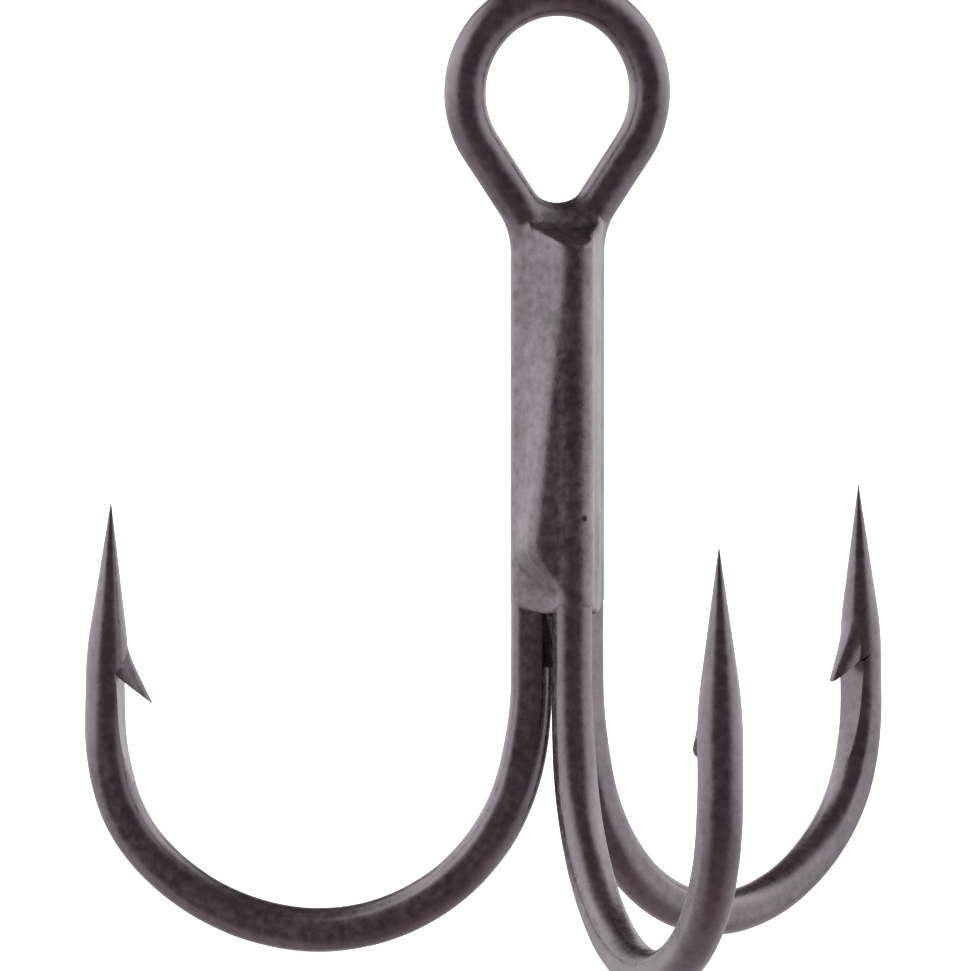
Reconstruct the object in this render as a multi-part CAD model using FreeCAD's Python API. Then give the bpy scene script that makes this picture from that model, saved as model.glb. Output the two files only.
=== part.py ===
import FreeCAD, Part
import math
import os

# A brazed treble hook, in millimetres and degrees.
# The origin is the centre of the wire eye, whose ring lies in the XZ plane, and +Z runs
# up the shank towards the eye. One wire is bent into the eye and two of the hooks. The
# other wire, with one hook, points along -Y, and is brazed into the groove between the
# first wire's two shanks.

V = FreeCAD.Vector
ORIGIN = V(0, 0, 0)
LATERAL = V(0, 1, 0)
UP = V(0, 0, 1)
FULL_TURN = 360.0
THIRD_TURN = FULL_TURN / 3
QUARTER_TURN = FULL_TURN / 4

# Wires, and how far their centres stand from the axis of the three-wire shank
WIRE_R = 0.85
SHANK_OFFSET = 1.267
RIGHT_AZIMUTH = 30.0
LEFT_AZIMUTH = RIGHT_AZIMUTH + THIRD_TURN
FRONT_AZIMUTH = LEFT_AZIMUTH + THIRD_TURN
AXIS_Y = -SHANK_OFFSET / 2

# Eye
EYE_RING_R = 3.93
EYE_FLANK_LEAN = 34.6
NECK_ARC_R = 3.75

# Bend, from the straight shank round to the spear: radius and turn of each arc
BEND_TOP_Z = -23.76
THROAT_ARC = (16.06, 13.0)
BEND_ARCS = ((8.94, 79.5), (9.60, 41.5), (6.63, 32.5))
SPEAR_ARC = (10.1, 15.0)
TIP_Z = -16.77
BLEND_SECTIONS = 5

# Forged bend: thicker in the plane of the bend, with a flat on each side
BEND_R = 0.905
FLAT_HALF = 0.825
FLAT_FULL_Z = -28.5
FLAT_END_Z = -25.8
DIE_TOP_HALF = 1.2
DIE_REACH = 25.0
DIE_BOTTOM_Z = -40.0

# The flats run up the shank, deeper, and end under the braze
SHANK_FLAT_HALF = 0.735
SHANK_FLAT_Z = -19.6
SHANK_ROUND_Z = -18.6
SHANK_DIE_REACH = 6.0

# Needle point
SPEAR_R = 0.885
POINT_HALF_ANGLE = 8.0
POINT_BLEND = 1.1

# Barb and the slice it was raised from: distances down from the tip, and inwards from the
# spear's axis. Each hook's barb has its own half width and its own place for the notch's root.
BARB_DEEP = 0.70
RIGHT_BARB = (0.45, (7.24, 0.26))
LEFT_BARB = (0.70, (7.08, 0.47))
FRONT_BARB = (0.70, (7.20, 0.35))
BARB_LEAN = 28.3
BARB_START_LEAN = 10.0
BARB_CURVE_R = 5.0
BARB_STRAIGHT = 1.59
BARB_TIP = (8.35, 1.99)
SLICE_TOP = (7.56, 0.55)
SLICE_FOOT = (9.00, 0.67)
SLICE_MIDDLE = (10.30, 0.85)
SLICE_END = (11.60, 1.23)
CUT_SPAN = 3.0

# Braze that fills the grooves between the wires, the core between them a little further down,
# and the crotch of the eye, with a low ridge on the left-hand face
BRAZE_SINK = 0.015
TONGUE_BOTTOM_Z = -21.05
TONGUE_SAG = 0.42
CORE_R = 0.55
CORE_BOTTOM_Z = -23.3
CREST_AZIMUTH = 152.2
CREST_FACING = 215.0
CREST_OUT = 1.1
CREST_TOP_Z = -7.0
CREST_FULL_Z = -18.0
CREST_END_Z = -20.4
FRONT_TOP_Z = -6.08
CAP_LEAN = 21.3
CAP_TOP_Z = -4.9
BACK_TOP_Z = -5.5
SADDLE_Z = -4.42
SADDLE_TUBE_R = 0.82
WEB_HALF = 0.72
WEB_BOTTOM_Z = -8.0


def prism(points, direction):
    return Part.Face(Part.makePolygon(points + points[:1])).extrude(direction)


def place(shape, azimuth):
    """Turns a hook drawn along +X about the shank's axis, and puts it on that axis."""
    shape.rotate(ORIGIN, UP, azimuth)
    shape.translate(V(0, AXIS_Y, 0))
    return shape


def arc_end(start, heading, radius, turn):
    """Centre and end of a bend: heading 0 is straight down, and 90 is straight outwards."""
    first = math.radians(heading)
    last = math.radians(heading + turn)
    centre = start + V(math.cos(first), 0, math.sin(first)) * radius
    return centre, centre - V(math.cos(last), 0, math.sin(last)) * radius


def ring_at(point, heading, wire_r):
    ring = Part.Wire(Part.makeCircle(wire_r))
    ring.rotate(ORIGIN, LATERAL, -heading)
    ring.translate(point)
    return ring


def even_bend(start, heading, arc, wire_r):
    centre, _ = arc_end(start, heading, *arc)
    return Part.Face(ring_at(start, heading, wire_r)).revolve(centre, -LATERAL, arc[1])


def blended_bend(start, heading, arc, start_r, end_r):
    """A gentle bend whose thickness changes along it."""
    rings = []
    for i in range(BLEND_SECTIONS):
        share = i / (BLEND_SECTIONS - 1)
        _, point = arc_end(start, heading, arc[0], arc[1] * share)
        wire_r = start_r + (end_r - start_r) * share
        rings.append(ring_at(point, heading + arc[1] * share, wire_r))
    return Part.makeLoft(rings, True)


def bend():
    """The bend with its forged flats, and where its spear starts."""
    heading = 0.0
    point = V(SHANK_OFFSET, 0, BEND_TOP_Z)
    pieces = [blended_bend(point, heading, THROAT_ARC, WIRE_R, BEND_R)]
    _, point = arc_end(point, heading, *THROAT_ARC)
    heading += THROAT_ARC[1]
    for arc in BEND_ARCS:
        pieces.append(even_bend(point, heading, arc, BEND_R))
        _, point = arc_end(point, heading, *arc)
        heading += arc[1]
    pieces.append(blended_bend(point, heading, SPEAR_ARC, BEND_R, SPEAR_R))
    _, point = arc_end(point, heading, *SPEAR_ARC)
    heading += SPEAR_ARC[1]
    whole = pieces[0].multiFuse(pieces[1:])
    return whole.common(forging_die()), point, heading


def die(profile, reach):
    """The space between two dies, from heights and half gaps, out to a reach."""
    outline = [V(0, half, z) for z, half in profile]
    mirrored = [V(0, -corner.y, corner.z) for corner in reversed(outline)]
    return prism(outline + mirrored, V(reach, 0, 0))


def forging_die():
    """Flat on the bend, easing off it up the spear, and closer together up the shank."""
    bend_profile = (
        (DIE_BOTTOM_Z, FLAT_HALF),
        (FLAT_FULL_Z, FLAT_HALF),
        (FLAT_END_Z, BEND_R),
        (0, DIE_TOP_HALF),
    )
    shank_profile = (
        (DIE_BOTTOM_Z, DIE_TOP_HALF),
        (FLAT_FULL_Z, DIE_TOP_HALF),
        (FLAT_FULL_Z, FLAT_HALF),
        (BEND_TOP_Z, SHANK_FLAT_HALF),
        (SHANK_FLAT_Z, SHANK_FLAT_HALF),
        (SHANK_ROUND_Z, WIRE_R),
        (0, DIE_TOP_HALF),
    )
    open_die = ((DIE_BOTTOM_Z, DIE_TOP_HALF), (0, DIE_TOP_HALF))
    outside = die(open_die, SHANK_DIE_REACH)
    squeezed = outside.cut(die(shank_profile, SHANK_DIE_REACH))
    return die(bend_profile, DIE_REACH).cut(squeezed)


class Spear:
    """Directions of the straight spear, and its points by depth from the tip and side."""

    def __init__(self, base, heading):
        lean = math.radians(heading)
        self.up = V(math.sin(lean), 0, -math.cos(lean))
        self.inward = V(-self.up.z, 0, self.up.x)
        self.length = (TIP_Z - base.z) / self.up.z
        self.tip = base + self.up * self.length

    def at(self, depth, side):
        return self.tip - self.up * depth + self.inward * side

    def toward(self, lean):
        """A direction that runs down the spear and leans inwards."""
        angle = math.radians(lean)
        return self.inward * math.sin(angle) - self.up * math.cos(angle)

    def normal(self, lean):
        angle = math.radians(lean)
        return self.inward * math.cos(angle) + self.up * math.sin(angle)


def needle(spear):
    """A cone that runs into the round spear along a long soft arc."""
    half = math.radians(POINT_HALF_ANGLE)
    blend_r = POINT_BLEND / math.tan(half / 2)
    full_depth = SPEAR_R / math.tan(half) + POINT_BLEND
    cone_depth = full_depth - blend_r * math.sin(half)
    mid_depth = full_depth - blend_r * math.sin(half / 2)
    cone_end = spear.at(cone_depth, cone_depth * math.tan(half))
    mid_blend = spear.at(mid_depth, SPEAR_R - blend_r * (1 - math.cos(half / 2)))
    full = spear.at(full_depth, SPEAR_R)
    shoulder = spear.at(spear.length, SPEAR_R)
    base = spear.at(spear.length, 0)
    outline = Part.Wire([
        Part.LineSegment(spear.tip, cone_end).toShape(),
        Part.Arc(cone_end, mid_blend, full).toShape(),
        Part.LineSegment(full, shoulder).toShape(),
        Part.LineSegment(shoulder, base).toShape(),
        Part.LineSegment(base, spear.tip).toShape(),
    ])
    return Part.Face(outline).revolve(spear.tip, spear.up, FULL_TURN)


def across(outline):
    """A cutter that crosses the hook, from an outline in the plane of the bend."""
    face = Part.Face(outline)
    face.translate(LATERAL * (-CUT_SPAN / 2))
    return face.extrude(LATERAL * CUT_SPAN)


def barb(spear, wide, root):
    """The raised chip: round outside, cut flat below, and pointed where the two meet."""
    point = spear.at(*BARB_TIP)
    along = spear.toward(BARB_LEAN)
    out = spear.normal(BARB_LEAN)
    curve_end = point - along * BARB_STRAIGHT
    centre = curve_end - out * BARB_DEEP
    ellipse = Part.Ellipse(curve_end, centre + LATERAL * wide, centre)
    oval = Part.Face(Part.Wire(ellipse.toShape()))
    pivot = curve_end + out * BARB_CURVE_R
    curve = oval.revolve(pivot, LATERAL, BARB_START_LEAN - BARB_LEAN)
    straight = oval.extrude(along * (BARB_STRAIGHT + CUT_SPAN / 2))
    past_point = point + (point - root)
    under = [root - (point - root), past_point, past_point + along * CUT_SPAN,
             root - out * CUT_SPAN * 2]
    return curve.fuse(straight).cut(across(Part.makePolygon(under + under[:1])))


def slice_cut(spear, root):
    """What the slice under the barb took: a steep notch, then a long shallow cut."""
    top = spear.at(*SLICE_TOP)
    foot = spear.at(*SLICE_FOOT)
    end = spear.at(*SLICE_END)
    outside = spear.at(SLICE_END[0], CUT_SPAN)
    past_barb = root + (spear.at(*BARB_TIP) - root) * 2
    return across(Part.Wire([
        Part.LineSegment(root, top).toShape(),
        Part.LineSegment(top, foot).toShape(),
        Part.Arc(foot, spear.at(*SLICE_MIDDLE), end).toShape(),
        Part.LineSegment(end, outside).toShape(),
        Part.LineSegment(outside, past_barb).toShape(),
        Part.LineSegment(past_barb, root).toShape(),
    ]))


def hook(barb_wide, notch_root):
    """One hook drawn along +X, from where it leaves the straight shank to its tip."""
    forged, base, heading = bend()
    spear = Spear(base, heading)
    root = spear.at(*notch_root)
    pointed = forged.fuse(needle(spear)).cut(slice_cut(spear, root))
    return pointed.fuse(barb(spear, barb_wide, root))


def shank(top_z, azimuth):
    """A straight wire whose lower end is flattened."""
    foot = V(SHANK_OFFSET, 0, BEND_TOP_Z)
    wire = Part.makeCylinder(WIRE_R, top_z - BEND_TOP_Z, foot)
    return place(wire.common(forging_die()), azimuth)


def neck():
    """Half the gap between the shanks, the length of the flanks, and where the necks end."""
    lean = math.radians(EYE_FLANK_LEAN)
    half_gap = SHANK_OFFSET * math.cos(math.radians(RIGHT_AZIMUTH))
    neck_x = half_gap + NECK_ARC_R * (1 - math.cos(lean))
    flank = (EYE_RING_R * math.cos(lean) - neck_x) / math.sin(lean)
    drop = (EYE_RING_R + NECK_ARC_R) * math.sin(lean) + flank * math.cos(lean)
    return half_gap, flank, -drop


def eye_wire():
    """The ring of the eye with its two flanks and neck bends."""
    lean = math.radians(EYE_FLANK_LEAN)
    half_gap, flank, shank_top_z = neck()
    down = V(-math.sin(lean), 0, -math.cos(lean))
    leave = V(EYE_RING_R * math.cos(lean), 0, -EYE_RING_R * math.sin(lean))
    ring = Part.Face(Part.Wire(Part.makeCircle(WIRE_R, leave, down)))
    pieces = [ring.revolve(ORIGIN, -LATERAL, FULL_TURN / 2 + 2 * EYE_FLANK_LEAN)]
    for side in (1, -1):
        top = V(side * leave.x, 0, leave.z)
        pieces.append(Part.makeCylinder(WIRE_R, flank, top, V(side * down.x, 0, down.z)))
        foot = V(side * half_gap, 0, shank_top_z)
        pivot = foot + V(side * NECK_ARC_R, 0, 0)
        disc = Part.Face(Part.Wire(Part.makeCircle(WIRE_R, foot, UP)))
        pieces.append(disc.revolve(pivot, LATERAL * side, EYE_FLANK_LEAN))
    return pieces


def one_solid(shape):
    """The finished wire or braze, which has to be a single piece."""
    solids = shape.removeSplitter().Solids
    if len(solids) != 1:
        raise ValueError(f"expected one solid, found {len(solids)}")
    return solids[0]


def double_hook_wire():
    pieces = eye_wire()
    shank_top_z = neck()[-1]
    for azimuth, barb_shape in ((RIGHT_AZIMUTH, RIGHT_BARB), (LEFT_AZIMUTH, LEFT_BARB)):
        pieces.append(shank(shank_top_z, azimuth))
        pieces.append(place(hook(*barb_shape), azimuth))
    return one_solid(pieces[0].multiFuse(pieces[1:]))


def above_cap():
    """Everything above the slope that falls from the crotch of the eye to the front wire."""
    lean = math.radians(CAP_LEAN)
    along = V(0, math.cos(lean), math.sin(lean))
    front = V(-DIE_REACH / 2, AXIS_Y - SHANK_OFFSET - WIRE_R, FRONT_TOP_Z)
    low = front - along
    high = low + along * DIE_REACH
    return prism([low, high, high + UP * DIE_REACH, low + UP * DIE_REACH], V(DIE_REACH, 0, 0))


def single_hook_wire():
    """The front wire, whose top end is cut on the slope of the braze."""
    wire = shank(0, FRONT_AZIMUTH).cut(above_cap())
    return one_solid(wire.fuse(place(hook(*FRONT_BARB), FRONT_AZIMUTH)))


def groove_fill(azimuth, top_z):
    """Braze in one groove, from the shank's axis out to a flat, with a rounded lower end."""
    face_out = SHANK_OFFSET / 2 + WIRE_R - BRAZE_SINK
    half = SHANK_OFFSET * math.sin(math.radians(THIRD_TURN / 2))
    low_z = TONGUE_BOTTOM_Z + TONGUE_SAG
    left = V(0, -half, low_z)
    right = V(0, half, low_z)
    left_top = V(0, -half, top_z)
    right_top = V(0, half, top_z)
    outline = Part.Wire([
        Part.Arc(left, V(0, 0, TONGUE_BOTTOM_Z), right).toShape(),
        Part.LineSegment(right, right_top).toShape(),
        Part.LineSegment(right_top, left_top).toShape(),
        Part.LineSegment(left_top, left).toShape(),
    ])
    return place(Part.Face(outline).extrude(V(face_out, 0, 0)), azimuth)


def around(azimuth, out, z):
    """A place by its direction and distance from the Z axis, and its height."""
    angle = math.radians(azimuth)
    return V(math.cos(angle) * out, math.sin(angle) * out, z)


def crest():
    """A low ridge on the left-hand face of the braze, highest near its lower end."""
    facing = LEFT_AZIMUTH + THIRD_TURN / 2
    reach = WIRE_R - BRAZE_SINK
    left_wire = around(LEFT_AZIMUTH, SHANK_OFFSET, 0) + V(0, AXIS_Y, 0)
    front_wire = around(FRONT_AZIMUTH, SHANK_OFFSET, 0) + V(0, AXIS_Y, 0)
    left = left_wire + around(facing, reach, 0)
    front = front_wire + around(CREST_AZIMUTH + QUARTER_TURN, reach, 0)
    foot = front_wire + around(CREST_AZIMUTH, CREST_OUT, CREST_FULL_Z)
    peak = foot + around(CREST_FACING, WIRE_R, 0)
    left_top = left + UP * CREST_TOP_Z
    left_end = left + UP * CREST_END_Z
    front_top = front + UP * CREST_TOP_Z
    front_end = front + UP * CREST_END_Z
    inner_top = V(0, AXIS_Y, CREST_TOP_Z)
    inner_end = V(0, AXIS_Y, CREST_END_Z)
    sides = (
        (left_top, left_end, peak),
        (left_end, front_end, peak),
        (front_end, front_top, peak),
        (front_top, left_top, peak),
        (inner_top, left_top, front_top),
        (inner_end, front_end, left_end),
        (inner_top, inner_end, left_end),
        (inner_top, left_end, left_top),
        (inner_top, front_end, inner_end),
        (inner_top, front_top, front_end),
    )
    faces = [Part.Face(Part.makePolygon(list(corners) + [corners[0]])) for corners in sides]
    solid = Part.Solid(Part.Shell(faces))
    if solid.Volume < 0:
        solid.reverse()
    return solid


def crotch():
    """Braze between the eye's flanks: a web under a round saddle that runs into both."""
    lean = math.radians(EYE_FLANK_LEAN)
    half_gap, _, shank_top_z = neck()
    # The saddle's centreline touches both flanks' centrelines
    centre_z = (EYE_RING_R - SADDLE_TUBE_R + SADDLE_Z) / (1 - math.sin(lean))
    saddle_r = centre_z - SADDLE_Z + SADDLE_TUBE_R
    centre = V(0, 0, centre_z)
    touch = centre + V(math.cos(lean), 0, -math.sin(lean)) * saddle_r
    up_flank = V(math.sin(lean), 0, math.cos(lean))
    disc = Part.Face(Part.Wire(Part.makeCircle(SADDLE_TUBE_R, touch, up_flank)))
    saddle = disc.revolve(centre, LATERAL, FULL_TURN / 2 - 2 * EYE_FLANK_LEAN)
    right_half = [V(half_gap, 0, WEB_BOTTOM_Z), V(half_gap, 0, shank_top_z), touch]
    left_half = [V(-corner.x, 0, corner.z) for corner in reversed(right_half)]
    outline = [corner - LATERAL * WEB_HALF for corner in right_half + left_half]
    web = prism(outline, LATERAL * (2 * WEB_HALF))
    inside = Part.makeCylinder(saddle_r, 2 * WEB_HALF, centre - LATERAL * WEB_HALF, LATERAL)
    return web.cut(inside).fuse(saddle)


def braze(wires):
    half_turn_on = THIRD_TURN / 2
    fill = groove_fill(RIGHT_AZIMUTH + half_turn_on, BACK_TOP_Z)
    for azimuth in (LEFT_AZIMUTH, FRONT_AZIMUTH):
        fill = fill.fuse(groove_fill(azimuth + half_turn_on, CAP_TOP_Z))
    core_foot = V(0, AXIS_Y, CORE_BOTTOM_Z)
    core_height = TONGUE_BOTTOM_Z + TONGUE_SAG * 2 - CORE_BOTTOM_Z
    core = Part.makeCylinder(CORE_R, core_height, core_foot)
    return one_solid(fill.cut(above_cap()).fuse([crotch(), core, crest()]).cut(list(wires)))


def main():
    os.makedirs("parts", exist_ok=True)
    double_wire = double_hook_wire()
    single_wire = single_hook_wire()
    nodes = {
        "double_hook_wire": double_wire,
        "single_hook_wire": single_wire,
        "braze": braze((double_wire, single_wire)),
    }
    for name, shape in nodes.items():
        print(name, "valid", shape.isValid(), "volume", round(shape.Volume, 2))
        shape.exportStep(f"parts/{name}.step")


main()
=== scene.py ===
import math
import bmesh
import bpy
import numpy as np
from mathutils import Matrix, Vector


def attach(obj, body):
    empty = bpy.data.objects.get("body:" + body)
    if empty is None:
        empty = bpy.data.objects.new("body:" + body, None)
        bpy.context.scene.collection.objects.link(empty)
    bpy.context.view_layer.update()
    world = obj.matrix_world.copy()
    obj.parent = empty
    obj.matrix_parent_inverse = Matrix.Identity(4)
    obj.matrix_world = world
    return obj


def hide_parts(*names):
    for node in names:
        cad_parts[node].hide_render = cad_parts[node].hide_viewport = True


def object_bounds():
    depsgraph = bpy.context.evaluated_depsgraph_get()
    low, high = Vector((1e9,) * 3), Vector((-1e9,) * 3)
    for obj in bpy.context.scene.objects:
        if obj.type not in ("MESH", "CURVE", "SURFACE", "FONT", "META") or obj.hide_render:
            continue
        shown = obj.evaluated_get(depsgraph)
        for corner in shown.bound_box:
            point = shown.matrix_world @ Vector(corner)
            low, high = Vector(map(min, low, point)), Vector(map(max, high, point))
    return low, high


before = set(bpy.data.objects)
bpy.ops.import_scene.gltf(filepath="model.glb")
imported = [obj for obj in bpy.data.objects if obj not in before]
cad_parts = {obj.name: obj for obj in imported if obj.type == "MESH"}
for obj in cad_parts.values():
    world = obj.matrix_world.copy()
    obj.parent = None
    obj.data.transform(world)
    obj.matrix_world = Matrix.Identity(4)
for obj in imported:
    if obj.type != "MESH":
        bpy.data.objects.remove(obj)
cad_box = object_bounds()

# All lengths are in millimetres until a mesh is finished, and angles are in degrees.
MM = 0.001
UP = np.array((0.0, 0.0, 1.0))
LATERAL = np.array((0.0, 1.0, 0.0))
RIGHT = np.array((1.0, 0.0, 0.0))
# Stands for the distance to a part of a shape that ends elsewhere
FAR = 9.0

# Camera
CAMERA_AZIMUTH = -17.78
CAMERA_ELEVATION = 4.28
AIM_RIGHT = -3.128
AIM_UP = 0.387
CAMERA_DISTANCE = 296.68
SHANK_MIDDLE_Z = -16.272
FOCAL_LENGTH = 271.57
SENSOR = 36.0
NEAREST_SEEN = 0.01

# Wires and the three-wire shank
WIRE_R = 0.85
SHANK_OFFSET = 1.267
RIGHT_AZIMUTH = 30.0
FRONT_AZIMUTH = 270.0
AXIS = np.array((0.0, -SHANK_OFFSET / 2, 0.0))
HALF_GAP = SHANK_OFFSET * math.cos(math.radians(RIGHT_AZIMUTH))

# Eye
EYE_RING_R = 3.93
EYE_LEAN = 34.6
NECK_ARC_R = 3.75
LEAN_SIN = math.sin(math.radians(EYE_LEAN))
LEAN_COS = math.cos(math.radians(EYE_LEAN))
FLANK = (EYE_RING_R * LEAN_COS - HALF_GAP - NECK_ARC_R * (1 - LEAN_COS)) / LEAN_SIN
NECK_Z = -(EYE_RING_R + NECK_ARC_R) * LEAN_SIN - FLANK * LEAN_COS

# Bend: radius and turn of each arc from the shank to the spear
BEND_TOP_Z = -23.76
BEND_ARCS = ((16.06, 13.0), (8.94, 79.5), (9.60, 41.5), (6.63, 32.5), (10.1, 15.0))
TIP_Z = -16.77
BEND_R = 0.905
FLAT_HALF = 0.825
FLAT_FULL_Z = -28.5
FLAT_END_Z = -25.8
SHANK_FLAT_HALF = 0.735
SHANK_FLAT_Z = -19.6
SHANK_ROUND_Z = -18.6
SHANK_FREE_Z = SHANK_ROUND_Z + 0.4
UNFLATTENED = 1.6
FLAT_EDGE = 0.07
LEAST_SINE = 0.05

# Needle point
SPEAR_R = 0.885
POINT_HALF_ANGLE = 8.0
POINT_BLEND = 1.1
POINT_TIP_R = 0.025

# Barb and the slice below it: distances down from the tip, and inwards from the spear's axis.
# Each hook's barb has a half width at its point, a place for the root of its notch, and the
# power of its section: 2 is an ellipse, and less is sharper along the crest.
BARB_DEEP = 0.70
BARB_START_WIDE = 0.70
RIGHT_BARB = (0.42, (7.24, 0.26), 2.0)
LEFT_BARB = (0.72, (7.08, 0.47), 1.3)
FRONT_BARB = (0.74, (7.20, 0.35), 2.0)
BARB_LEAN = 28.3
BARB_START_LEAN = 10.0
BARB_CURVE_R = 5.0
BARB_CURVE = BARB_CURVE_R * math.radians(BARB_LEAN - BARB_START_LEAN)
BARB_STRAIGHT = 1.59
BARB_TIP = (8.35, 1.99)
SLICE_TOP = (7.56, 0.58)
SLICE_SLOPE = 0.0615
SLICE_CURVE = 0.0592
SLICE_CURVE_FROM = 9.0
SLICE_END = 11.6
SLICE_STEPS = 24
CUT_SPAN = 3.0

# Mesh density
AROUND = 72
STEP = 0.2
CHIP_AROUND = 48
CHIP_STEPS = 12
CAP_STEPS = 8
VOXEL = 0.075
SETTLE_STEPS = 3
SETTLE_REACH = 0.02
LEAST_SLOPE = 0.25
LEAST_MOVE = 1e-9

# Unevenness of the drawn wire, and of the braze
SLOW_WOBBLE = 0.006
QUICK_WOBBLE = 0.004
LUMP_HEIGHT = 0.006
LUMP_SIZE = 0.9
TONGUE_RIPPLE = 0.02

# Painted shade of a small pit beside the front wire, darkening the braze's colour where the mesh has
# no pit: its place, and how far out its floor and its rim are
PIT = (0.257, -2.732, -17.080)
PIT_FLOOR_R = 0.06
PIT_RIM_R = 0.20
PIT_PAINTED_SHADE = 0.85
PIT_SHADE_COLOUR = (0.012, 0.008, 0.010, 1)

# Faces of the braze by azimuth, and how far each one's lower end stands above TONGUE_Z
RIGHT_FACE = -30.0
BACK_FACE = 90.0
LEFT_FACE = 210.0
FACES = {RIGHT_FACE: 0.0, BACK_FACE: -0.2, LEFT_FACE: 0.0}

# How proud each face is at its middle and how wide the swelling is, with a lobe low on the
# right-hand face and a thinning at the end of the left-hand one
SWELL = 0.03
LOBE = 0.055
LOBE_Z = -18.2
LOBE_LENGTH = 1.9
THINNING = 0.2
THIN_FROM_Z = -18.6
RIGHT_SWELL_WIDTH = 0.6
BACK_SWELL_WIDTH = 0.7
THINNING_WIDTH = 0.75

# Upper end of the braze and of the front wire
CAP_LEAN = 21.3
CAP_FRONT_Z = -6.08
CAP_DISH = 0.09
CAP_ROUNDING = 0.4
WIRE_END_DROP = 0.20
WIRE_CAP_LENGTH = 1.5
LIP_DROP = 0.26
LIP_PROUD = 0.02
LIP_ROUNDING = 0.2
LIP_EDGE = 0.06
BACK_CAP_Z = -5.3
BACK_CAP_Y = 0.6
BACK_CAP_SLOPE = 0.25

# Saddle and web in the crotch of the eye, where the web sinks into the faces below it
SADDLE_Z = -4.42
SADDLE_TUBE_R = 0.76
WEB_ROUNDING = 0.1
WEB_SINK = 0.5
WEB_SINK_Z = -6.2
WEB_SINK_LENGTH = 1.7
WEB_BOTTOM_Z = -8.0
CROTCH_FILLET = 0.5
RING_REACH = 0.5
JOIN_SLACK = 0.01

# Lower ends of the braze: a rounded tongue on each face, and the core between the wires
CORE_Z = -23.3
TONGUE_Z = -21.07
TONGUE_ARC_R = 1.9
TONGUE_HALF_WIDTH = 1.2
TONGUE_DEPTH = 0.25
TONGUE_RISE = 0.3
TONGUE_ROUNDING = 0.14

# Ridge on the left-hand face
CREST_AZIMUTH = 152.2
CREST_OUT = 1.1
CREST_LEAST = 0.01
CREST_TOP_Z = -7.0
CREST_FULL_Z = -18.0
CREST_FADE_Z = -18.3
CREST_END_Z = -20.4

# Fillets where the braze wets the wires, and how deep the braze's hidden skin lies inside them
WETTING = 0.14
WET_SINK = 0.02
WET_REACH = 0.2
BURIED = 0.28

# Space that the braze is looked for in
BRAZE_LOW = (-3.0, -3.1, CORE_Z - 0.3)
BRAZE_HIGH = (3.0, 1.2, -3.2)

# Plating: sizes and detail of its mottle, the grades of its tones, and its gloss and relief
MOTTLE = (0.36, 4.0)
FINE_MOTTLE = (0.10, 2.0)
BROAD_MOTTLE = (1.9, 3.0)
BROAD_SHARE = 0.4
TONE_RANGE = (0.34, 0.66)
GLOSS_RANGE = (0.3, 0.7)
SMOOTHER = 0.06
ROUGHER = 0.08
FINE_RELIEF = 0.3
# Tint, contrast of the mottle, roughness, and height of the grain in millimetres
WIRE_PLATING = ((0.302, 0.256, 0.292), 0.22, 0.28, 0.010)
BRAZE_PLATING = ((0.305, 0.258, 0.298), 0.34, 0.33, 0.018)
# Angle above which an edge of a mesh stays sharp
WIRE_SHARP = 32
BRAZE_SHARP = 60

# Studio light. Each step is a start and an end, and the levels there: by the degrees that a
# direction is turned from the camera, or by its height from -1 to 1.
LEFT_LIGHT = ((28, 64, 0.0, 0.88), (80, 120, 0.0, 0.24))
RIGHT_LIGHT = ((37, 83, 0.0, 0.81), (85, 125, 0.0, 0.34))
LOW_LIGHT = ((-0.95, -0.35, 0.14, 0.48), (-0.32, 0.02, 0.0, 0.52))
HIGH_LIGHT = (0.1, 0.4, 1.0, 1.15)
OVERHEAD_LIGHT = (0.66, 0.92, 1.0, 0.05)
REAR_TURN = (118, 158)
REAR_RISE = (0.15, 0.5)
GROUND_LIGHT = (-0.75, -0.15, 1.75, 1.0)
SIDE_BLEND = 0.05
DIM_COLOUR = (0.117, 0.090, 0.101)

# Floor, in metres, and the lamp over it
FLOOR_HALF = 9.0
FLOOR_COLOUR = (0.86, 0.86, 0.86, 1)
FLOOR_ROUGHNESS = 0.9
FLOOR_GLOW = 0.95
WHITE = (1, 1, 1, 1)
LAMP_STRENGTH = 3.0
LAMP_SPREAD = 70


def axes(azimuth):
    """Outward and lateral directions of a hook's plane."""
    a = math.radians(azimuth)
    return np.array((math.cos(a), math.sin(a), 0.0)), np.array((-math.sin(a), math.cos(a), 0.0))


def trace(start, heading, runs):
    """Places and headings along lines and arcs in a plane, from (length, turn) runs."""
    u, w = start
    rows = []
    for length, turn in runs:
        count = max(2, math.ceil(length / STEP))
        bend = math.radians(turn) / length
        h = math.radians(heading)
        for i in range(count):
            s = length * i / count
            if turn:
                du = (math.cos(h) - math.cos(h + bend * s)) / bend
                dw = (math.sin(h) - math.sin(h + bend * s)) / bend
            else:
                du, dw = s * math.sin(h), -s * math.cos(h)
            rows.append((u + du, w + dw, h + bend * s))
        if turn:
            u += (math.cos(h) - math.cos(h + bend * length)) / bend
            w += (math.sin(h) - math.sin(h + bend * length)) / bend
        else:
            u += length * math.sin(h)
            w -= length * math.cos(h)
        heading += turn
    rows.append((u, w, math.radians(heading)))
    return np.array(rows)


def arc_run(arc):
    return arc[0] * math.radians(abs(arc[1])), arc[1]


def bend_path():
    """The hook's centreline below the straight shank, up to the tip."""
    runs = [arc_run(arc) for arc in BEND_ARCS]
    end = trace((SHANK_OFFSET, BEND_TOP_Z), 0.0, runs)[-1]
    spear = (TIP_Z - end[1]) / -math.cos(end[2])
    return trace((SHANK_OFFSET, BEND_TOP_Z), 0.0, runs + [(spear, 0.0)]), spear


def ease(x):
    x = np.clip(x, 0.0, 1.0)
    return x * x * (3 - 2 * x)


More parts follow.
